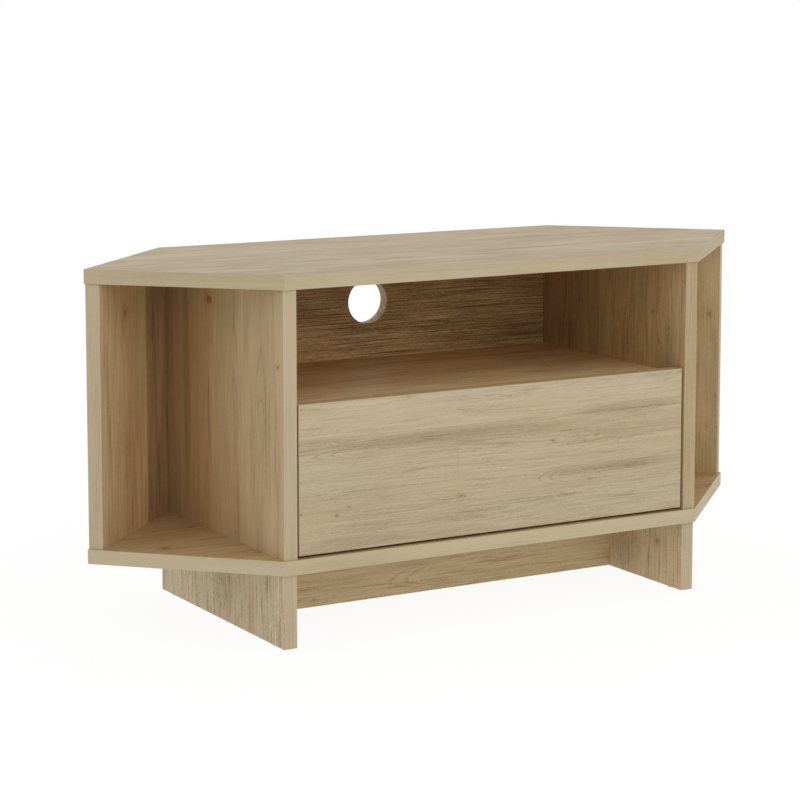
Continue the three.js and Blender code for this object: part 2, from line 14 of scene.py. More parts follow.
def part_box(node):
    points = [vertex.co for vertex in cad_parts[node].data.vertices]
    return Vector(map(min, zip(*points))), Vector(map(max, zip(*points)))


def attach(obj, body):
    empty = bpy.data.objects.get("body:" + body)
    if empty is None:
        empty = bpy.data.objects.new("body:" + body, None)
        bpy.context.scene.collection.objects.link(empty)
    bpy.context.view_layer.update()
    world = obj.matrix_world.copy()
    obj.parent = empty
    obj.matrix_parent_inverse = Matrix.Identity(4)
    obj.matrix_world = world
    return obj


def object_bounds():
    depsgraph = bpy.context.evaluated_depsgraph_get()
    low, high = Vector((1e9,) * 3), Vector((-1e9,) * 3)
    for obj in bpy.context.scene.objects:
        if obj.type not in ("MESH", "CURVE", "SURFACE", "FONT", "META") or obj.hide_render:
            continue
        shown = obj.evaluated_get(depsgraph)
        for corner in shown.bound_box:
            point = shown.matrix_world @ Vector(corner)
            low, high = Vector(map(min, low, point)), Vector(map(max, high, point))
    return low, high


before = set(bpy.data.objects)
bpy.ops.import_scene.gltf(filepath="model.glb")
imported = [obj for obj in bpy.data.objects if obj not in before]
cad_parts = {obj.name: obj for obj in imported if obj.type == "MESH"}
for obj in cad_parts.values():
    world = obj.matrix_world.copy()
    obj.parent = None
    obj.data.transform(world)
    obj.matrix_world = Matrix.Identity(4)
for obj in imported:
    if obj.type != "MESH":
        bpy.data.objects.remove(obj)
cad_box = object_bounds()
print("pieces:", len(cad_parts), "box:", [list(corner) for corner in cad_box])

# %% [markdown]
# The picture was taken with a long lens from the left and a little above, with upright edges that
# stay upright. A level camera with a large shift would give just that, but the shift also moves
# every other view. So the camera tips down a little and a small shift does the rest, which puts
# each corner of the cabinet within a few pixels of its place.

# %% Place the camera
camera_place = Vector((-1.6207, -2.7314, 0.7920))
camera_turn = math.radians(30.03)
camera_tilt = math.radians(6.83)
camera_shift = -0.15
lens_length = 110.96
sensor_width = 36
sight_limit = 100


def add_camera():
    view = bpy.data.cameras.new("photo_camera")
    view.sensor_width = sensor_width
    view.lens = lens_length
    view.shift_y = camera_shift
    view.clip_end = sight_limit
    camera = bpy.data.objects.new("photo_camera", view)
    camera.location = camera_place
    camera.rotation_euler = (math.pi / 2 - camera_tilt, 0, -camera_turn)
    bpy.context.scene.collection.objects.link(camera)
    bpy.context.scene.camera = camera
    return camera


print("camera:", add_camera().name)

# %% [markdown]
# A shader is a graph of small nodes, and a formula drawn as nodes is hard to read. Here a Wire
# stands for one output of a node, and Python's own operators add the Math nodes: 1 - mask adds a
# Subtract node.

# %% Write shader maths as plain expressions
class Wire:
    """One output of a shader node."""

    def __init__(self, recipe, socket):
        self.recipe = recipe
        self.socket = socket

    def maths(self, operation, *values):
        return self.recipe.maths(operation, *values)

    def __add__(self, other):
        return self.maths("ADD", self, other)

    def __sub__(self, other):
        return self.maths("SUBTRACT", self, other)

    def __rsub__(self, other):
        return self.maths("SUBTRACT", other, self)

    def __mul__(self, other):
        return self.maths("MULTIPLY", self, other)

    def __truediv__(self, other):
        return self.maths("DIVIDE", self, other)

    def __rtruediv__(self, other):
        return self.maths("DIVIDE", other, self)

    def __gt__(self, other):
        return self.maths("GREATER_THAN", self, other)

    def __abs__(self):
        return self.maths("ABSOLUTE", self)

    __radd__ = __add__
    __rmul__ = __mul__


print("a wire can be used with: + - * / > abs")

# %% [markdown]
# A Recipe holds the nodes of one material, or of the world. Its node method is the only way in
# which a node is made, so each recipe below reads as a list of steps. Settings come first and the
# sockets after them. The other methods are steps that several finishes share: a place, a
# direction, noise, soft steps, blended and multiplied colours, and the shader at the end.

# %% Collect the nodes of a finish
class Recipe:
    """The nodes of a material or of the world, and the one way to add another."""

    def __init__(self, owner):
        owner.use_nodes = True
        self.owner = owner
        self.tree = owner.node_tree
        self.tree.nodes.clear()

    def node(self, kind, settings=None, inputs=None, output=0):
        made = self.tree.nodes.new(kind)
        for name, value in (settings or {}).items():
            if name == "stops":
                self.set_stops(made.color_ramp, value)
            else:
                setattr(made, name, value)
        for name, value in (inputs or {}).items():
            if isinstance(value, Wire):
                self.tree.links.new(value.socket, made.inputs[name])
            else:
                made.inputs[name].default_value = value
        return Wire(self, made.outputs[output]) if made.outputs else None

    def set_stops(self, ramp, stops):
        while len(ramp.elements) < len(stops):
            ramp.elements.new(1)
        for element, (place, tone) in zip(ramp.elements, stops):
            element.position = place
            element.color = tone

    def maths(self, operation, *values):
        return self.node("ShaderNodeMath", {"operation": operation}, dict(enumerate(values)))

    def vector_maths(self, operation, *vectors, output=0):
        settings = {"operation": operation}
        return self.node("ShaderNodeVectorMath", settings, dict(enumerate(vectors)), output)

    def most(self, first, *others):
        """The largest of several values."""
        for other in others:
            first = self.maths("MAXIMUM", first, other)
        return first

    def ease(self, value, low, high):
        """From 0 at low to 1 at high in a smooth step, also where high is the lower number."""
        settings = {"interpolation_type": "SMOOTHSTEP"}
        return self.node("ShaderNodeMapRange", settings, {0: value, 1: low, 2: high})

    def place(self):
        """Where a point lies in the cabinet at rest. It stays the same while a piece moves."""
        return self.node("ShaderNodeTexCoord", {}, {}, "Object")

    def direction(self):
        """Where the flat surface at a point looks."""
        return self.node("ShaderNodeNewGeometry", {}, {}, "True Normal")

    def point(self, x, y, z):
        return self.node("ShaderNodeCombineXYZ", {}, {0: x, 1: y, 2: z})

    def part(self, vector, number):
        """The X, Y or Z of a vector, by its number from 0."""
        return self.node("ShaderNodeSeparateXYZ", {}, {0: vector}, number)

    def along(self, vector, axis):
        """How far the vector reaches along the axis."""
        return self.vector_maths("DOT_PRODUCT", vector, axis, output=1)

    def noise(self, place, detail=2):
        """Cloudy noise around 0.5, about one cloud to each unit of place."""
        inputs = {"Vector": place, "Scale": 1, "Detail": detail, "Roughness": 0.5}
        return self.node("ShaderNodeTexNoise", {}, inputs)

    def clouds(self, place, counts, detail):
        """Noise with so many clouds to a metre along X, Y and Z."""
        return self.noise(self.vector_maths("MULTIPLY", place, counts), detail)

    def mix(self, amount, first, second):
        """Colours first and second, blended by amount from 0 to 1."""
        sockets = {0: amount, 6: first, 7: second}
        return self.node("ShaderNodeMix", {"data_type": "RGBA"}, sockets, 2)

    def shade(self, amount, tone, tint):
        """The tone multiplied by the tint, as far as amount says."""
        settings = {"data_type": "RGBA", "blend_type": "MULTIPLY"}
        return self.node("ShaderNodeMix", settings, {0: amount, 6: tone, 7: tint}, 2)

    def finish(self, sockets, bump, bump_height):
        """The material, with its shader. Bump is a height worth bump_height metres at 1."""
        inputs = {"Height": bump, "Distance": bump_height}
        sockets = {**sockets, "Normal": self.node("ShaderNodeBump", {}, inputs)}
        shader = self.node("ShaderNodeBsdfPrincipled", {}, sockets)
        self.node("ShaderNodeOutputMaterial", {}, {"Surface": shader})
        return self.owner


def new_finish(name):
    return Recipe(bpy.data.materials.new(name))


print("a recipe's steps:", [name for name in vars(Recipe) if not name.startswith("_")])

# %% [markdown]
# Colours are read from a picture as numbers from 0 to 255, but a shader counts light, which is
# not the same scale. This cell turns one into the other, by the usual curve of a screen.

# %% Turn picture colours into shader colours
def light(value):
    share = value / 255
    return share / 12.92 if share <= 0.04045 else ((share + 0.055) / 1.055) ** 2.4


def colour(red, green, blue):
    return (light(red), light(green), light(blue), 1)


print("a mid beige as light:", [round(value, 3) for value in colour(184, 169, 136)])

# %% [markdown]
# The cabinet stands in a white studio. Soft white light comes from all sides, so an open surface
# renders about as its colour is written and only the recesses go dark. Only the eye, a mirror or
# a pane sees the sky as pure white: the Light Path node tells those rays from the ones that carry
# light.

# %% Make the white sky
sky_level = 0.8
white = (1, 1, 1, 1)


def seen_directly(recipe):
    """1 for rays from the eye, from a mirror or through a pane, and 0 for the rest."""
    rays = ("Is Camera Ray", "Is Glossy Ray", "Is Transmission Ray")
    return recipe.most(*(recipe.node("ShaderNodeLightPath", {}, {}, ray) for ray in rays))


def glow(recipe, strength, kind="ShaderNodeEmission"):
    return recipe.node(kind, {}, {"Color": white, "Strength": strength})


def mix_shaders(recipe, amount, first, second):
    return recipe.node("ShaderNodeMixShader", {}, {0: amount, 1: first, 2: second})


def add_sky():
    world = bpy.data.worlds.new("studio_sky")
    bpy.context.scene.world = world
    recipe = Recipe(world)
    light_only = glow(recipe, sky_level, "ShaderNodeBackground")
    clear = glow(recipe, 1, "ShaderNodeBackground")
    both = mix_shaders(recipe, seen_directly(recipe), light_only, clear)
    recipe.node("ShaderNodeOutputWorld", {}, {"Surface": both})
    return world


bpy.context.scene.view_settings.view_transform = "Standard"
print("sky:", add_sky().name, "at level", sky_level)

# %% [markdown]
# A lit shooting table carries the cabinet and sends light up from below. The eye sees it as pure
# white too, but for a share of its real shading, and with it the cabinet's faint shadow. From
# below it is a pane, so that the underside can be looked at. The table is a disc of many corners,
# so wide that its rim never shows.

# %% Lay the shooting table
table_level = 0.86
table_lift = 0.02
shadow_share = 0.1
table_reach = 9
table_corners = 96
table_grey = colour(249, 249, 249)
table_white = colour(253, 253, 253)


def table_paint():
    recipe = new_finish("shooting_table")
    tone = recipe.mix(recipe.noise(recipe.place(), 4), table_grey, table_white)
    matt = recipe.node("ShaderNodeBsdfDiffuse", {}, {"Color": tone})
    shaded = mix_shaders(recipe, shadow_share, glow(recipe, 1), matt)
    lifted = recipe.node("ShaderNodeAddShader", {}, {0: shaded, 1: glow(recipe, table_lift)})
    lit = mix_shaders(recipe, seen_directly(recipe), glow(recipe, table_level), lifted)
    pane = recipe.node("ShaderNodeBsdfTransparent")
    below = recipe.node("ShaderNodeNewGeometry", {}, {}, "Backfacing")
    both = mix_shaders(recipe, below, lit, pane)
    recipe.node("ShaderNodeOutputMaterial", {}, {"Surface": both})
    recipe.owner.cycles.emission_sampling = "NONE"
    return recipe.owner


def add_object(name, shape, paint):
    """An object with the shape that a bmesh holds, and one finish."""
    mesh = bpy.data.meshes.new(name)
    shape.to_mesh(mesh)
    shape.free()
    mesh.materials.append(paint)
    made = bpy.data.objects.new(name, mesh)
    bpy.context.scene.collection.objects.link(made)
    return made


def add_table():
    shape = bmesh.new()
    bmesh.ops.create_circle(shape, cap_ends=True, segments=table_corners, radius=table_reach)
    table = add_object("shooting_table", shape, table_paint())
    return table


print("table:", add_table().name, "of radius", table_reach)

# %% [markdown]
# Three weak softboxes model the cabinet. One hangs in front and one above. The third stands low,
# so that light gets deep into the bay. Each is a name, a place, the length of its side and watts.

# %% Hang the softboxes
softboxes = (
    ("front_softbox", (-0.9, -2.5, 2.3), 1.8, 8),
    ("low_softbox", (0.3, -3.0, 1.0), 1.2, 9),
    ("top_softbox", (0.6, -0.4, 3.0), 2.0, 3),
)
cabinet_middle = (cad_box[0] + cad_box[1]) / 2


def add_softbox(name, place, side, watts):
    lamp = bpy.data.lights.new(name, "AREA")
    lamp.shape = "SQUARE"
    lamp.size = side
    lamp.energy = watts
    softbox = bpy.data.objects.new(name, lamp)
    softbox.location = place
    aim = cabinet_middle - Vector(place)
    softbox.rotation_euler = aim.to_track_quat("-Z", "Y").to_euler()
    bpy.context.scene.collection.objects.link(softbox)


for softbox_facts in softboxes:
    add_softbox(*softbox_facts)

# %% [markdown]
# The boards are chipboard with a printed oak face. A print like this shows glued planks: each
# plank has its own tone and hue, its own growth rings and a thin line to the next. One recipe
# draws them all, in a board's own directions: along the grain, across it and through the board.
# A narrow band covers each edge, with a print of its own that follows the edge. The sides that look
# into a recess, and some edge bands, get a painted shade that makes them darker and browner. It
# stands in for the shade of the recess, and is half as strong near the front, where light reaches
# in. The usual looks are those of a plain board, and a board names only what is different about it.
# Lengths run along the grain from the board's middle and widths across it.

# %% Describe a board
usual_looks = {
    # A plank is the side where it starts, its tone and its hue, from olive below 0 to pink above.
    "planks": ((-1, 0, 0),),
    # How much painted shade, darker and browner, the side towards through gets, then the side away
    # from it, then the edges.
    "warmth": (0, 0, 0),
    # The widths across which the painted shade grows from half to full strength.
    "fade": None,
    # How strong the whole grain is, then its wider streaks, and the growth rings.
    "contrast": 1,
    "coarse": 1,
    "rings": 0.09,
    # How close the lines lie.
    "fineness": 1,
    # The side with a quieter sheet of the print, 1 towards through and -1 away from it.
    "calm": 0,
    # How much darker the edge bands are, and the gain, painted light that makes the whole board
    # lighter.
    "edge_tone": 0,
    "gain": 1,
    # A knot is its place along and across, half length and half width. A stain has a strength
    # besides. Some stains are patches of painted shade, and those below 0 are painted light that
    # lightens a spot.
    "knots": (),
    "stains": (),
    # An arch is its apex, its side, its way, half width and reach.
    "arches": (),
    # The bare core shows in a hole, which is its side and radius, and at ends without a band.
    "hole": None,
    "raw_ends": False,
}


class Board:
    """A board's print: its directions and what is drawn on it."""

    def __init__(self, node, grain, across, seed, **looks):
        self.node = node
        self.grain = Vector(grain).normalized()
        self.across = Vector(across).normalized()
        self.through = self.grain.cross(self.across)
        self.seed = seed
        for look, usual in usual_looks.items():
            setattr(self, look, looks.get(look, usual))
        low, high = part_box(node)
        self.centre = (low + high) / 2


print("looks that a board can name:", len(usual_looks))

# %% [markdown]
# The print's ink runs from nearly white to a dark brown. A ramp reads how dark a point is as one of
# five oak colours, with the plain one near its middle. Tints multiply that colour: pink and olive
# for the planks' hues, grey for stains and patches of painted shade, amber round knots and a brown
# one for the painted shade of recesses.

# %% Mix the oak colours
oak_white = colour(220, 207, 179)
oak_pale = colour(201, 187, 157)
oak_plain = colour(185, 169, 139)
oak_brown = colour(156, 137, 106)
oak_dark = colour(108, 86, 58)
oak_knot = colour(112, 80, 50)
oak_ramp = ((0, oak_white), (0.2, oak_pale), (0.464, oak_plain), (0.728, oak_brown), (1, oak_dark))
pink_tint = (1, 0.945, 0.93, 1)
olive_tint = (0.96, 0.97, 0.89, 1)
grey_tint = (0.84, 0.84, 0.80, 1)
amber_tint = (0.97, 0.87, 0.75, 1)
# A brown tint for the painted shade of recesses.
recess_shade_tint = (1, 0.81, 0.55, 1)
print("oak colours:", len(oak_ramp), "in the ramp")

# %% [markdown]
# An edge band is told from a face by the surface's own direction, and so is the eased edge between
# the two. That edge is painted pale: partly wear of the print, partly a painted highlight. Each
# flat side of a board also gets its own shift in the noise, worked out from that direction, so no
# two sides look alike. A slow sway keeps the lines from running dead straight. A pair of limits
# says how squarely a point looks through the board, or along it at its ends, from where that begins
# to count to where it counts in full.

# %% Find the place on a board
face_limits = (0.5, 0.85)
away_limits = (-0.5, -0.85)
end_limits = (0.8, 0.9)
eased_from = (0.55, 0.65)
eased_to = (0.76, 0.86)
side_shift = (0.37, 0.53, 0.71)
sway_lengthwise = 2.1
sway_sideways = 6
sway_reach = 0.012


class Surface:
    """Where a point of a board lies in the board's own directions."""

    def __init__(self, recipe, board):
        self.recipe = recipe
        self.board = board
        self.place = recipe.vector_maths("SUBTRACT", recipe.place(), board.centre)
        normal = recipe.direction()
        self.facing = recipe.along(normal, board.through)
        self.ending = recipe.ease(abs(recipe.along(normal, board.grain)), *end_limits)
        flat = abs(self.facing)
        self.band = 1 - recipe.ease(flat, *face_limits)
        self.calm = recipe.ease(self.facing * board.calm, *face_limits) if board.calm else 0
        self.eased = recipe.ease(flat, *eased_from) - recipe.ease(flat, *eased_to)
        self.shift = recipe.along(normal, side_shift)
        self.length = recipe.along(self.place, board.grain)
        self.width = recipe.along(self.place, board.across)
        depth = recipe.along(self.place, board.through)
        drift = recipe.point(self.length * sway_lengthwise, self.width * sway_sideways,
                             board.seed + self.shift)
        sway = (recipe.noise(drift) - 0.5) * sway_reach
        self.lateral = (self.width + sway) * (1 - self.band) + (depth + self.shift) * self.band

    def noise(self, lengthwise, sideways, number):
        """Noise around 0, with so many clouds to a metre along the grain and across it."""
        place = self.recipe.point(self.length * lengthwise,
                                  self.lateral * (sideways * self.board.fineness),
                                  self.board.seed + number)
        return self.recipe.noise(place) - 0.5

    def oval(self, start, side, half_length, half_width):
        """The squared distance from a spot's middle, 1 at its rim."""
        lengthwise = (self.length - start) / half_length
        sideways = (self.lateral - side) / half_width
        return lengthwise * lengthwise + sideways * sideways


print("edges count as bands below", face_limits[0])

# %% [markdown]
# The growth rings are those of a log cut lengthwise, cones round a heart line. Chance places the
# heart of each plank, by the plank's number, so a plank's rings stay its own. Rings come and go
# along a board, as a slow noise says.

# %% Draw planks and rings
plank_line = 0.0007
band_numbers = 9
calm_share = 0.7
ring_pitch = 0.0034
ring_clouds = (6, 34, 5)
ring_wobble = 0.01
heart_softness = 0.00012
heart_spread = 0.3
heart_slope = 0.12
chance_step = 7.31


def planks_across(surface):
    """The number, tone and hue of the plank at a point, and the line beside it."""
    recipe, board = surface.recipe, surface.board
    face = 1 - surface.band
    number, tone, hue, joint = 0, 0, 0, 0
    tone_before, hue_before = 0, 0
    for start, plank_tone, plank_hue in board.planks:
        beyond = surface.width > start
        number = beyond + number
        tone = beyond * (plank_tone - tone_before) + tone
        hue = beyond * (plank_hue - hue_before) + hue
        joint = recipe.most(1 - recipe.ease(abs(surface.width - start), 0, plank_line), joint)
        tone_before, hue_before = plank_tone, plank_hue
    band_number = recipe.maths("ROUND", surface.shift * band_numbers) * surface.band
    tone = tone * face * (1 - surface.calm * calm_share) + surface.band * board.edge_tone
    return number * face + band_number, tone, hue * face, joint * face


def ring_lines(surface, number, wobble, push):
    """Cones round the heart line of the plank with that number."""
    recipe = surface.recipe
    chance_place = recipe.point(number * chance_step + surface.board.seed, 0.5, 0.5)
    chance = recipe.node("ShaderNodeTexWhiteNoise", {}, {"Vector": chance_place}, "Color")
    split = [recipe.node("ShaderNodeSeparateColor", {}, {0: chance}, n) for n in range(2)]
    reach = surface.lateral - (split[0] - 0.5) * heart_spread
    radius = recipe.maths("SQRT", reach * reach + heart_softness)
    slope = (split[1] - 0.5) * heart_slope
    cone = radius + surface.length * slope + wobble * ring_wobble + push
    turn = recipe.maths("FRACT", cone / ring_pitch)
    ring = recipe.ease(turn, 0.3, 0.9) - recipe.ease(turn, 0.9, 1)
    return ring * recipe.ease(surface.noise(*ring_clouds), -0.1, 0.2)


print("growth rings every", ring_pitch * 1000, "mm")

# %% [markdown]
# Knots, stains and arches are drawn where a board's description puts them, with ragged rims. Some
# stains are patches of painted light and shade. An arch is a nest of parabolas, as rings make where
# the saw leaves the heart. A knot pushes the rings aside and has an amber halo.

# %% Draw arches, knots, stains and painted light
arch_step = 0.3
halo_reach = 3.2
knot_rim = 1.3
knot_push = 0.9
stain_and_light_rim = 1.2


def arch_lines(surface, wobble, apex, side, way, half_width, reach):
    """A few nested arches that open along the grain, way 1 or -1, from their apex."""
    recipe = surface.recipe
    sideways = (surface.lateral - side) / half_width
    bow = sideways * sideways
    inside = (surface.length - apex) * way - bow * (reach * 0.5) + wobble * (reach * 0.5)
    turn = recipe.maths("FRACT", inside / (reach * arch_step))
    line = recipe.ease(turn, 0.5, 0.95) - recipe.ease(turn, 0.95, 1)
    here = recipe.ease(inside, -0.002, 0.002) - recipe.ease(inside, reach * 0.5, reach)
    return line * here * (1 - recipe.ease(bow, 0.7, 2))


def knot_marks(surface, ragged):
    """The eyes of the knots, the rims round them, their halos and how they push the rings."""
    recipe = surface.recipe
    eyes, rims, halos, push = 0, 0, 0, 0
    for start, side, half_length, half_width in surface.board.knots:
        near = surface.oval(start, side, half_length, half_width) + ragged
        eyes = recipe.most(1 - recipe.ease(near, 0, knot_rim), eyes)
        rims = recipe.ease(near, 1.6, 2.4) - recipe.ease(near, 2.6, 4) + rims
        halo = 1 - recipe.ease(near, 0.3, halo_reach ** 2)
        halos = recipe.most(halo, halos)
        push = halo * (half_width * knot_push) + push
    return eyes, rims, halos, push


def stain_and_light_marks(surface, streak, fibre):
    """How strong the stains and the patches of painted light and shade are at a point, below 0 for
    painted light. Streaks and fibres tear their rims.
    """
    stain = 0
    for start, side, half_length, half_width, strength in surface.board.stains:
        near = surface.oval(start, side, half_length, half_width) + streak * 1.6 + fibre * 1.4
        stain = (1 - surface.recipe.ease(near, 0, stain_and_light_rim)) * strength + stain
    return stain


print("a knot's halo is", halo_reach, "times as wide as the knot")

# %% [markdown]
# Noise that is stretched along the grain gives fibres, pores, streaks and the soft wide bands. A
# layer is its clouds to a metre along the grain, those across it, and a number of its own. Dark
# dashes are the open pores of oak, and they crowd together in the streaks and stains. Patches of
# painted light make them paler. Shares say how much each layer darkens the print. The height of the
# pressed grain comes from the same layers, so what looks like a pore is one.

# %% Draw the oak print
wobble_layer = (9, 60, 3)
fibre_layer = (12, 480, 7)
fine_layer = (26, 900, 9)
pore_layer = (300, 1700, 11)
streak_layer = (8, 140, 13)
wide_layer = (1.6, 22, 17)
hue_layer = (1.3, 15, 19)
dash_layer = (60, 800, 23)
patch_layer = (9, 45, 29)
dash_limits = (0.08, 0.2)
crowd_limits = (-0.1, 0.2)
wear_and_highlight_limits = (-0.05, 0.15)
fibre_share, fine_share, pore_share = 0.7, 0.7, 0.8
streak_share, patch_share, wide_share = 0.3, 0.14, 0.34
stain_and_light_share, stain_and_light_dash_share = 0.13, 0.22
rim_share, arch_share, joint_share = 0.12, 0.2, 0.2
hue_share, wear_and_highlight_share = 0.15, 0.4
calm_contrast = 1.1
band_calm = 0.68
ramp_span = 0.8
ramp_middle = 0.456


def print_tints(surface, shade, hue, stain, eyes, halos):
    """The ramp's colour, tinted by the plank's hue, the marks on it and the painted shade of
    recesses.
    """
    recipe, board = surface.recipe, surface.board
    shade = recipe.shade(recipe.ease(hue, 0, 0.2), shade, pink_tint)
    shade = recipe.shade(recipe.ease(hue, 0, -0.2), shade, olive_tint)
    if board.stains:
        shade = recipe.shade(stain * 0.7, shade, grey_tint)
    if board.knots:
        shade = recipe.shade(halos * 0.5, shade, amber_tint)
        shade = recipe.mix(eyes * 0.6, shade, oak_knot)
    # Painted shade: sides and edge bands that look into a recess are made darker and browner, half
    # as much near the front.
    towards, away, edges = board.warmth
    warm = recipe.ease(surface.facing, *face_limits) * towards + surface.band * edges
    warm = recipe.ease(surface.facing, *away_limits) * away + warm
    if board.fade:
        warm = warm * (recipe.ease(surface.width, *board.fade) * 0.5 + 0.5)
    return recipe.shade(warm, shade, recess_shade_tint)


def oak_print(surface):
    """The print's colour, with its painted light and shade, and the height of its pressed grain."""
    recipe, board = surface.recipe, surface.board
    number, tone, hue, joint = planks_across(surface)
    wobble = surface.noise(*wobble_layer)
    fibre = surface.noise(*fibre_layer)
    fine = surface.noise(*fine_layer)
    pore = surface.noise(*pore_layer)
    streak = surface.noise(*streak_layer)
    patch = surface.noise(*patch_layer)
    dashes = recipe.ease(surface.noise(*dash_layer), *dash_limits)
    crowd = recipe.ease(streak + patch, *crowd_limits)
    eyes, rims, halos, push = knot_marks(surface, fibre * 3 + streak)
    lines = ring_lines(surface, number, wobble, push) * board.rings + rims * rim_share
    for arch in board.arches:
        lines = arch_lines(surface, wobble, *arch) * arch_share + lines
    stain = stain_and_light_marks(surface, streak, fibre)

    grain = fibre * fibre_share + fine * fine_share + pore * pore_share
    broad = streak * (board.coarse * streak_share) + patch * (board.coarse ** 2 * patch_share)
    texture = grain * (crowd * 0.5 + 0.6) + broad
    texture = texture + dashes * (crowd * 0.08 + 0.03) + stain * dashes * stain_and_light_dash_share
    contrast = surface.calm * (calm_contrast - board.contrast) + board.contrast
    contrast = contrast * (1 - surface.band * band_calm)
    dark = texture * contrast + surface.noise(*wide_layer) * wide_share + stain * stain_and_light_share
    dark = dark + lines + tone + joint * joint_share

    ramp_place = dark * ramp_span + ramp_middle
    shade = recipe.node("ShaderNodeValToRGB", {"stops": oak_ramp}, {0: ramp_place})
    # Painted light: the gain makes the whole board lighter, as though more light reached it.
    if board.gain != 1:
        shade = recipe.shade(1, shade, (board.gain, board.gain, board.gain, 1))
    hue = surface.noise(*hue_layer) + hue * hue_share
    shade = print_tints(surface, shade, hue, stain, eyes, halos)
    # The eased edges turn paler: partly wear, partly a painted highlight.
    wear_and_highlight = surface.eased * recipe.ease(patch + fibre, *wear_and_highlight_limits)
    shade = recipe.mix(wear_and_highlight * wear_and_highlight_share, shade, oak_pale)
    return shade, fibre + fine + pore * 0.6 - dashes * 0.3 - joint


print("fibres to a metre across the grain:", fibre_layer[1])

# %% [markdown]
# Where no print covers a board, its core shows: pressed wood chips, each of its own tone. That is
# so in the cable hole and at the ends of boards that stand on or under another. The print itself
# is matt, a little rougher where its grain stands high.

# %% Put print and core together
chip_pale = colour(208, 184, 148)
chip_dark = colour(160, 134, 98)
chip_scale = 420
hole_rim = (1.1, 1.2)
oak_relief = 0.0001


def bare_chipboard(surface):
    """The colour and the height of the core."""
    inputs = {"Vector": surface.place, "Scale": chip_scale}
    chips = surface.recipe.node("ShaderNodeTexVoronoi", {}, inputs, "Color")
    chip = surface.recipe.node("ShaderNodeSeparateColor", {}, {0: chips}, 0)
    return surface.recipe.mix(chip, chip_pale, chip_dark), chip


def bare_places(surface):
    """1 where the core shows: at raw ends, and on the wall of a round hole."""
    recipe, board = surface.recipe, surface.board
    bare = surface.ending * (1 if board.raw_ends else 0)
    if board.hole:
        side, radius = board.hole
        lengthwise = surface.length / radius
        sideways = (surface.width - side) / radius
        near = lengthwise * lengthwise + sideways * sideways
        bare = recipe.most(bare, surface.band * (1 - recipe.ease(near, *hole_rim)))
    return bare


def oak_board(board):
    recipe = new_finish(board.node + "_oak")
    surface = Surface(recipe, board)
    face, relief = oak_print(surface)
    if board.hole or board.raw_ends:
        core, chip = bare_chipboard(surface)
        bare = bare_places(surface)
        face = recipe.mix(bare, face, core)
        relief = relief * (1 - bare) + chip * bare
    sheen = recipe.ease(relief, -0.3, 0.3) * 0.1 + 0.5
    looks = {"Base Color": face, "Roughness": sheen, "Specular IOR Level": 0.25}
    return recipe.finish(looks, relief, oak_relief)


print("relief of the pressed grain:", oak_relief * 1000, "mm")
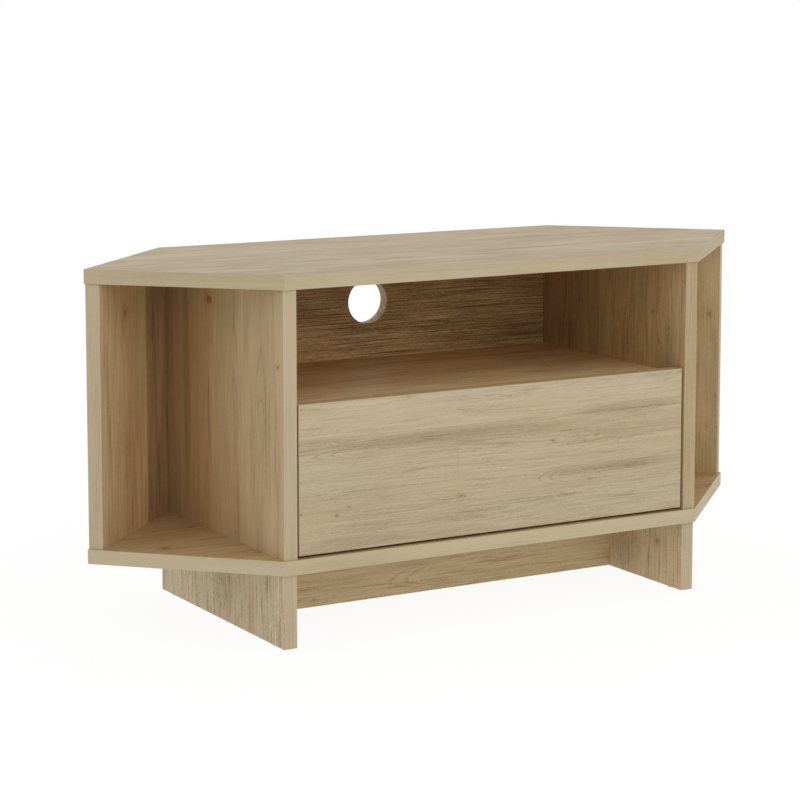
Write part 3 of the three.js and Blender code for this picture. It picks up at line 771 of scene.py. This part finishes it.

# %% [markdown]
# Each board now gets its own piece of print. The planks, knots, stains and arches stand where they
# show in the picture, and the seeds set the boards' noise apart.

# %% Lay the print on the boards
along_x = (1, 0, 0)
along_y = (0, 1, 0)
along_z = (0, 0, 1)
# Stains with a strength below 0 are painted light.
boards = [
    Board("top_panel", along_x, along_y, 2.1, contrast=0.75, coarse=1.9, fineness=0.7,
          warmth=(0, 0.75, 0), edge_tone=0.04,
          planks=((-1, 0.13, 1.1), (-0.115, 0.04, 0.6), (-0.062, 0.1, 1), (0.055, 0.06, 0.6),
                  (0.12, 0.1, 0.9)),
          knots=((0.3, 0.056, 0.004, 0.003), (0.316, 0.06, 0.003, 0.003)),
          stains=((-0.3, 0.03, 0.1, 0.012, 0.5), (0.16, -0.06, 0.2, 0.012, 0.45),
                  (-0.42, -0.14, 0.1, 0.05, 0.8), (0.42, 0.14, 0.1, 0.06, 1.2))),
    Board("bottom_panel", along_x, along_y, 14.6, coarse=1.6, edge_tone=-0.05,
          planks=((-1, 0, 0.5), (0.02, 0, 0.9)), warmth=(0.72, 0.2, 0),
          knots=((-0.316, 0.049, 0.008, 0.005), (-0.395, -0.041, 0.006, 0.005),
                 (-0.307, -0.117, 0.006, 0.003)),
          stains=((-0.38, 0, 0.06, 0.012, 0.4),)),
    Board("left_divider", along_z, along_y, 23.4, contrast=0.8, coarse=2, edge_tone=0.06,
          planks=((-1, -0.12, 0.8), (-0.072, -0.17, 0.8), (-0.03, -0.22, 0.5), (0.024, -0.12, 0.8)),
          warmth=(0.78, 0.72, 0.12), fade=(-0.1, 0.06), calm=-1, raw_ends=True,
          knots=((0.13, 0.024, 0.006, 0.008), (0.069, -0.162, 0.003, 0.003)),
          stains=((-0.12, -0.054, 0.06, 0.005, 0.9), (0.02, 0.092, 0.16, 0.012, 1.2),
                  (-0.01, 0.028, 0.06, 0.003, 1.8)),
          arches=((0.135, -0.045, -1, 0.018, 0.16), (0.14, -0.115, -1, 0.016, 0.2))),
    Board("right_divider", along_z, along_y, 31.2, contrast=1.8, coarse=1.1, edge_tone=0.13,
          planks=((-1, -0.1, 0.2), (-0.07, -0.18, 0.3), (0.02, -0.04, 0.7), (0.06, 0.1, 0.8)),
          warmth=(0.95, 0.72, 0.35), fade=(-0.26, -0.08), calm=-1, raw_ends=True,
          knots=((0.09, -0.106, 0.003, 0.002), (0.053, -0.12, 0.003, 0.002)),
          stains=((0.038, 0.09, 0.05, 0.006, 1.2), (0.05, 0.03, 0.1, 0.02, 0.4),
                  (0.13, -0.16, 0.06, 0.05, -1))),
    # The left corner panel's last stain is painted light, against the shade of its corner.
    Board("left_corner_panel", along_z, (1, 1, 0), 44.3, contrast=1.2, coarse=1.7,
          planks=((-1, -0.11, 0.6), (-0.002, -0.29, 0.5), (0.036, 0.08, 1.2)),
          warmth=(0, 0.76, 0), fade=(-0.13, -0.07), calm=1, raw_ends=True,
          knots=((0.117, -0.034, 0.005, 0.005),), arches=((0.14, -0.057, -1, 0.022, 0.1),),
          stains=((0.04, 0.003, 0.12, 0.008, 0.8), (-0.13, 0.045, 0.03, 0.005, 1),
                  (0.11, -0.04, 0.03, 0.008, 0.9), (-0.03, -0.09, 0.04, 0.004, 1),
                  (0, 0.095, 0.2, 0.03, -2.3))),
    Board("right_corner_panel", along_z, (-1, 1, 0), 52.8, contrast=1.3,
          planks=((-1, -0.04, 0.2),), warmth=(0.6, 0, 0), calm=-1, raw_ends=True,
          knots=((-0.094, -0.102, 0.003, 0.0018), (-0.049, -0.113, 0.002, 0.0012),
                 (0.064, -0.104, 0.004, 0.002)),
          stains=((-0.02, -0.11, 0.1, 0.006, 0.5), (0.14, -0.1, 0.06, 0.06, -0.9),
                  (-0.15, -0.1, 0.06, 0.06, 0.5))),
    # The back panel's third stain is painted light, and its last stain is painted shade.
    Board("back_panel", along_x, along_z, 63.5, contrast=4.2, coarse=0.2, rings=0.17,
          fineness=2.6, calm=-1,
          planks=((-1, 0.1, 1.3), (0.03, 0.2, 1.5)), warmth=(1, 0, 0), hole=(0.0925, 0.03),
          stains=((0.26, 0.032, 0.05, 0.006, 1), (-0.1, 0.12, 0.3, 0.01, 0.4),
                  (-0.14, 0.035, 0.22, 0.035, -2), (0.2, 0.03, 0.08, 0.04, 0.7))),
    # The shelf's gain is painted light. Its first stain is painted light on its left, and its
    # second is painted shade on its right.
    Board("shelf", along_x, along_y, 71.9, contrast=2.3, coarse=1.2, calm=-1, gain=1.27,
          planks=((-1, -0.4, 1), (-0.03, -0.3, 1.1), (0.07, -0.1, 1.3)), warmth=(0.9, 0.75, 0.5),
          fade=(-0.22, 0), knots=((0.171, -0.044, 0.004, 0.004),),
          stains=((-0.14, 0.02, 0.16, 0.1, -0.4), (0.22, -0.02, 0.12, 0.12, 0.8))),
    Board("left_leg", along_z, along_y, 85.7, contrast=2.2, coarse=0.7,
          planks=((-1, -0.06, 0.2), (-0.06, -0.05, 0)), warmth=(0.17, 0.25, 0), raw_ends=True,
          stains=((0.02, -0.015, 0.07, 0.04, 1.1), (-0.02, -0.09, 0.05, 0.006, 0.6))),
    Board("right_leg", along_z, along_y, 93.1, contrast=2.2, coarse=0.7,
          planks=((-1, -0.1, 0.2),), warmth=(0.4, 0.1, 0), raw_ends=True,
          knots=((0.01, -0.121, 0.005, 0.004),),
          stains=((0, -0.05, 0.07, 0.035, 1),)),
    Board("plinth_rail", along_x, along_z, 107.2, contrast=1.1, rings=0.12,
          planks=((-1, 0.03, 0.4),), warmth=(0.45, 0.25, 0),
          knots=((-0.174, -0.036, 0.003, 0.002),), stains=((0.02, 0.018, 0.32, 0.012, 0.6),),
          arches=((-0.09, -0.024, 1, 0.014, 0.09),)),
    Board("drawer_front", along_x, along_z, 118.4, contrast=0.85, coarse=0.7,
          planks=((-1, 0.03, 0.6), (-0.02, 0.03, 0.1), (0.047, -0.04, 0)), warmth=(0, 0.42, 0.6),
          knots=((-0.213, -0.039, 0.002, 0.0013), (-0.23, -0.048, 0.002, 0.0014),
                 (-0.279, -0.042, 0.002, 0.0014), (-0.055, -0.042, 0.004, 0.0022),
                 (0.147, 0.017, 0.002, 0.0014), (0.129, 0.011, 0.002, 0.0015),
                 (0.081, 0.016, 0.003, 0.0013), (0.138, -0.038, 0.002, 0.0012)),
          stains=((-0.08, 0.036, 0.2, 0.009, 0.9), (0.2, 0.05, 0.1, 0.008, 0.9),
                  (0.18, -0.026, 0.12, 0.007, 0.9), (-0.129, 0.089, 0.006, 0.0035, 1),
                  (-0.2, -0.082, 0.09, 0.008, 0.5), (-0.059, 0.008, 0.0015, 0.018, 0.5),
                  (-0.22, -0.02, 0.12, 0.03, 0.35), (0.2, 0.016, 0.11, 0.012, 0.35)),
          arches=((-0.275, 0.027, 1, 0.007, 0.08), (0.045, -0.031, 1, 0.01, 0.06))),
]


def dress(node, finish):
    """Gives a measured piece its finish. Its shape and place stay as they are."""
    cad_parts[node].material_slots[0].material = finish


for board in boards:
    dress(board.node, oak_board(board))
print("oak boards:", len(boards))

# %% [markdown]
# The drawer box is of thinner board with a plain beige film, pressed with a fine linen weave. Its
# threads cross, so there are ridges along each direction.

# %% Finish the drawer box
linen_pitch = 0.0011
linen_share = 0.5
film_relief = 0.00005
film_clouds = (40, 6, 260)
film_pale = colour(196, 184, 158)
film_plain = colour(184, 171, 143)


def weave(recipe, place):
    """The height of the pressed linen."""
    ways = [recipe.part(place, number) for number in range(3)]
    return recipe.most(*(recipe.maths("SINE", way / linen_pitch * math.tau) for way in ways))


def film_tone(recipe, grain):
    return recipe.mix(recipe.ease(grain, 0.3, 0.7), film_pale, film_plain)


def film_board(name):
    recipe = new_finish(name)
    place = recipe.place()
    grain = recipe.clouds(place, film_clouds, 3)
    looks = {"Base Color": film_tone(recipe, grain), "Roughness": grain * 0.12 + 0.48,
             "Specular IOR Level": 0.35}
    return recipe.finish(looks, weave(recipe, place) * linen_share + grain, film_relief)


for node in ("drawer_left_side", "drawer_right_side", "drawer_back"):
    dress(node, film_board(node + "_film"))
print("linen threads every", linen_pitch * 1000, "mm")

# %% [markdown]
# The drawer's bottom is hardboard: a printed upper side and the bare brown fibre below, so that
# finish looks at which way the surface faces. Fibre is a mat of short threads, which fine noise
# with much detail gives, and the printed side has a grain of its own.

# %% Finish the drawer's bottom
mat_clouds = (300, 300, 300)
sheet_clouds = (5, 220, 5)
mat_relief = 0.00006
fibre_pale = colour(142, 108, 70)
fibre_dark = colour(104, 74, 44)


def hardboard_sheet():
    recipe = new_finish("drawer_bottom_hardboard")
    place = recipe.place()
    mat = recipe.clouds(place, mat_clouds, 5)
    fibre = recipe.mix(recipe.ease(mat, 0.3, 0.7), fibre_pale, fibre_dark)
    film = film_tone(recipe, recipe.clouds(place, sheet_clouds, 3))
    printed = recipe.ease(recipe.along(recipe.direction(), along_z), 0.3, 0.7)
    looks = {"Base Color": recipe.mix(printed, fibre, film), "Roughness": mat * 0.2 + 0.5}
    return recipe.finish(looks, mat, mat_relief)


dress("drawer_bottom", hardboard_sheet())
print("drawer bottom finished")

# %% [markdown]
# The runners are rolled from galvanised steel. Rolling leaves faint lines along the strip, and the
# zinc is a little cloudy. The cam locks and screws are die-cast and turned, then zinc plated:
# matt, mottled and never quite even.

# %% Finish the steel and zinc
rolling_lines = (1600, 14, 1600)
rolling_clouds = (90, 40, 90)
zinc_skin = (1100, 1100, 1100)
zinc_clouds = (160, 160, 160)
steel_relief = 0.00002
zinc_relief = 0.00004
steel_pale = colour(206, 209, 211)
steel_dark = colour(168, 172, 176)
zinc_pale = colour(204, 204, 202)
zinc_dark = colour(150, 151, 150)


def rolled_steel():
    recipe = new_finish("rolled_steel")
    lines = recipe.clouds(recipe.place(), rolling_lines, 3)
    clouds = recipe.clouds(recipe.place(), rolling_clouds, 4)
    tone = recipe.mix(recipe.ease(lines * 0.5 + clouds * 0.5, 0.35, 0.65), steel_dark, steel_pale)
    looks = {"Base Color": tone, "Metallic": 1, "Roughness": clouds * 0.2 + 0.22}
    return recipe.finish(looks, lines, steel_relief)


def plated_zinc():
    recipe = new_finish("plated_zinc")
    skin = recipe.clouds(recipe.place(), zinc_skin, 4)
    clouds = recipe.clouds(recipe.place(), zinc_clouds, 3)
    tone = recipe.mix(recipe.ease(clouds, 0.3, 0.7), zinc_dark, zinc_pale)
    looks = {"Base Color": tone, "Metallic": 0.9, "Roughness": skin * 0.3 + 0.26}
    return recipe.finish(looks, skin, zinc_relief)


steel = rolled_steel()
zinc = plated_zinc()
members = [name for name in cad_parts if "runner" in name and name.endswith("member")]
fittings = [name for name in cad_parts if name.startswith("cam_lock") or "leg_screw" in name]
for name in members:
    dress(name, steel)
for name in fittings:
    dress(name, zinc)
print("rolled members:", len(members), "plated fittings:", len(fittings))

# %% [markdown]
# Each ball cage is a thinner, darker strip with bright hardened balls in it. Strip and balls are
# one piece here, so the finish measures how far a point lies from the nearest ball. The balls sit
# in two rows, at the top and bottom of the cage, a pitch apart from its middle outwards.

# %% Finish the ball cages
ball_radius = 0.0016
ball_pitch = 0.016
cage_overhang = 0.0018
cage_clouds = (700, 60, 700)
cage_relief = 0.00001
cage_tone = colour(128, 130, 132)
ball_tone = colour(226, 228, 230)


def ball_cage(node, side):
    """Side is 1 where the cage opens towards +X, and -1 where it opens the other way."""
    low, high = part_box(node)
    middle = (low + high) / 2
    flange = high.x if side > 0 else low.x
    row_height = (high.z - low.z) / 2 - ball_radius
    recipe = new_finish(node + "_steel")
    place = recipe.place()
    across, lengthwise, upright = [recipe.part(place, number) for number in range(3)]
    out = across - (flange - side * cage_overhang)
    step = recipe.maths("FRACT", (lengthwise - middle.y) / ball_pitch + 0.5) - 0.5
    up = abs(upright - middle.z) - row_height
    from_ball = recipe.point(out, step * ball_pitch, up)
    distance = recipe.vector_maths("LENGTH", from_ball, output=1)
    ball = 1 - recipe.ease(distance, ball_radius * 1.02, ball_radius * 1.1)
    clouds = recipe.clouds(place, cage_clouds, 3)
    tone = recipe.mix(ball, recipe.mix(clouds, cage_tone, steel_dark), ball_tone)
    looks = {"Base Color": tone, "Metallic": 1, "Roughness": 0.34 - ball * 0.24 + clouds * 0.06}
    return recipe.finish(looks, clouds, cage_relief)


cages = [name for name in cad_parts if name.endswith("cage")]
for name in cages:
    dress(name, ball_cage(name, 1 if name.startswith("left") else -1))
print("ball cages:", len(cages))

# %% [markdown]
# The glides under the legs are moulded of undyed milky plastic. It has a fine spark-eroded skin,
# and is scuffed where it slides on the floor.

# %% Finish the glides
moulded_skin = (2600, 2600, 2600)
scuff_marks = (240, 900, 240)
scuff_height = 0.0006
plastic_relief = 0.00003
plastic_milky = colour(214, 209, 196)
plastic_scuffed = colour(190, 184, 168)


def moulded_plastic():
    recipe = new_finish("moulded_plastic")
    place = recipe.place()
    skin = recipe.clouds(place, moulded_skin, 2)
    marks = recipe.clouds(place, scuff_marks, 3)
    low_down = 1 - recipe.ease(recipe.part(place, 2), 0, scuff_height)
    worn = low_down * recipe.ease(marks, 0.4, 0.6)
    tone = recipe.mix(worn, plastic_milky, plastic_scuffed)
    looks = {"Base Color": tone, "Roughness": skin * 0.2 + 0.4}
    return recipe.finish(looks, skin, plastic_relief)


plastic = moulded_plastic()
glides = [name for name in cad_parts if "glide" in name]
for name in glides:
    dress(name, plastic)
print("glides:", len(glides))

# %% [markdown]
# A few fasteners are too small for the measured model, and show once the drawer is out: pan-head
# screws that hold the drawer's back, flat screws in the webs of the runners and nails under the
# drawer's bottom. A head is a small lathe shape, so its profile is turned round its axis: each
# pair is a share of the head's radius and a share of its height. The cross in it is pressed, so
# points inside the arms of the cross are pushed down.

# %% Shape a screw head
turns = 32
cross_arm = 0.17
cross_reach = 0.62
cross_depth = 0.7
pan_profile = ((1, 0), (1, 0.25), (0.93, 0.62), (0.78, 0.88), (0.6, 1), (0.45, 1), (0.3, 1))
flat_profile = ((1, 0), (1, 0.5), (0.94, 1), (0.78, 1), (0.6, 1), (0.45, 1), (0.3, 1))
flat_middle = ((0.2, 1), (0.1, 1))


def head_height(x, y, share, crossed):
    """The height share at a point of the head, lower inside the arms of the cross."""
    thin, far = sorted((abs(x), abs(y)))
    if crossed and thin < cross_arm and far < cross_reach:
        return share - cross_depth * (1 - far / cross_reach * 0.5)
    return share


def turn_head(shape, place, outward, head, crossed):
    """Adds one head to a bmesh. It stands on place and looks along outward."""
    profile, radius, height = head
    turned = Vector(along_z).rotation_difference(Vector(outward)).to_matrix().to_4x4()
    seat = Matrix.Translation(place) @ turned
    rings = []
    for reach, share in profile + flat_middle:
        ring = []
        for turn in range(turns):
            angle = math.tau * turn / turns
            x, y = reach * math.cos(angle), reach * math.sin(angle)
            up = head_height(x, y, share, crossed)
            ring.append(shape.verts.new(seat @ Vector((x * radius, y * radius, up * height))))
        rings.append(ring)
    for outer, inner in zip(rings, rings[1:]):
        for turn in range(turns):
            after = (turn + 1) % turns
            shape.faces.new((outer[turn], outer[after], inner[after], inner[turn]))
    shape.faces.new(rings[-1])
    shape.faces.new(list(reversed(rings[0])))


def add_heads(name, body, places, outward_of, head, crossed=True):
    """One piece of the fasteners at these places. Outward_of says which way each looks."""
    shape = bmesh.new()
    for place in places:
        turn_head(shape, place, outward_of(place), head, crossed)
    heads = add_object(name, shape, zinc)
    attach(heads, body)
    print(name, len(places))


print("points of a crossed head:", turns * len(pan_profile + flat_middle))

# %% [markdown]
# Each head is placed from the piece that it holds. The screws of the drawer's back go through the
# sides, over and under the runner, so they look outwards from the drawer.

# %% Screw the drawer's back
pan_head = (pan_profile, 0.0036, 0.0014)
screw_edge = 0.013
back_low, back_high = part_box("drawer_back")
back_middle_y = (back_low.y + back_high.y) / 2
side_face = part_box("drawer_left_side")[0].x


def outwards(place):
    return (math.copysign(1, place[0]), 0, 0)


screw_heights = (back_low.z + screw_edge, back_high.z - screw_edge)
back_screws = [(x, back_middle_y, z) for x in (side_face, -side_face) for z in screw_heights]
add_heads("drawer_back_screws", "drawer", back_screws, outwards, pan_head)

# %% [markdown]
# The runner's screws sit in its webs, sunk so far that the balls pass over them. They look at the
# drawer on the cabinet's members, and away from it on the drawer's own.

# %% Screw the runners
web_head = (flat_profile, 0.0034, 0.0003)
web_thickness = 0.0012


def inwards(place):
    return (-math.copysign(1, place[0]), 0, 0)


def web_places(node, depth, shares):
    """Places along a runner member's web, on its middle height, for both runners."""
    low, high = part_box(f"left_runner_{node}")
    height = (low.z + high.z) / 2
    spots = [low.y + (high.y - low.y) * share for share in shares]
    face = low.x + depth if depth > 0 else high.x + depth
    return [(x, y, height) for x in (face, -face) for y in spots]


cabinet_screws = web_places("cabinet_member", web_thickness, (0.1, 0.45, 0.9))
drawer_screws = web_places("drawer_member", -web_thickness, (0.12, 0.85))
add_heads("cabinet_runner_screws", "cabinet", cabinet_screws, inwards, web_head)
add_heads("drawer_runner_screws", "drawer", drawer_screws, outwards, web_head)

# %% [markdown]
# The nails hold the drawer's bottom up against its back, in one row. Their heads are flat, with no
# cross.

# %% Nail the drawer's bottom
nail_head = (flat_profile, 0.0016, 0.0004)
nail_edge = 0.03
nail_span = back_high.x - nail_edge
under_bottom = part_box("drawer_bottom")[0].z


def downwards(place):
    return (0, 0, -1)


nails = [(nail_span * share, back_middle_y, under_bottom) for share in (-1, -0.5, 0, 0.5, 1)]
add_heads("drawer_bottom_nails", "drawer", nails, downwards, nail_head, crossed=False)

# %% [markdown]
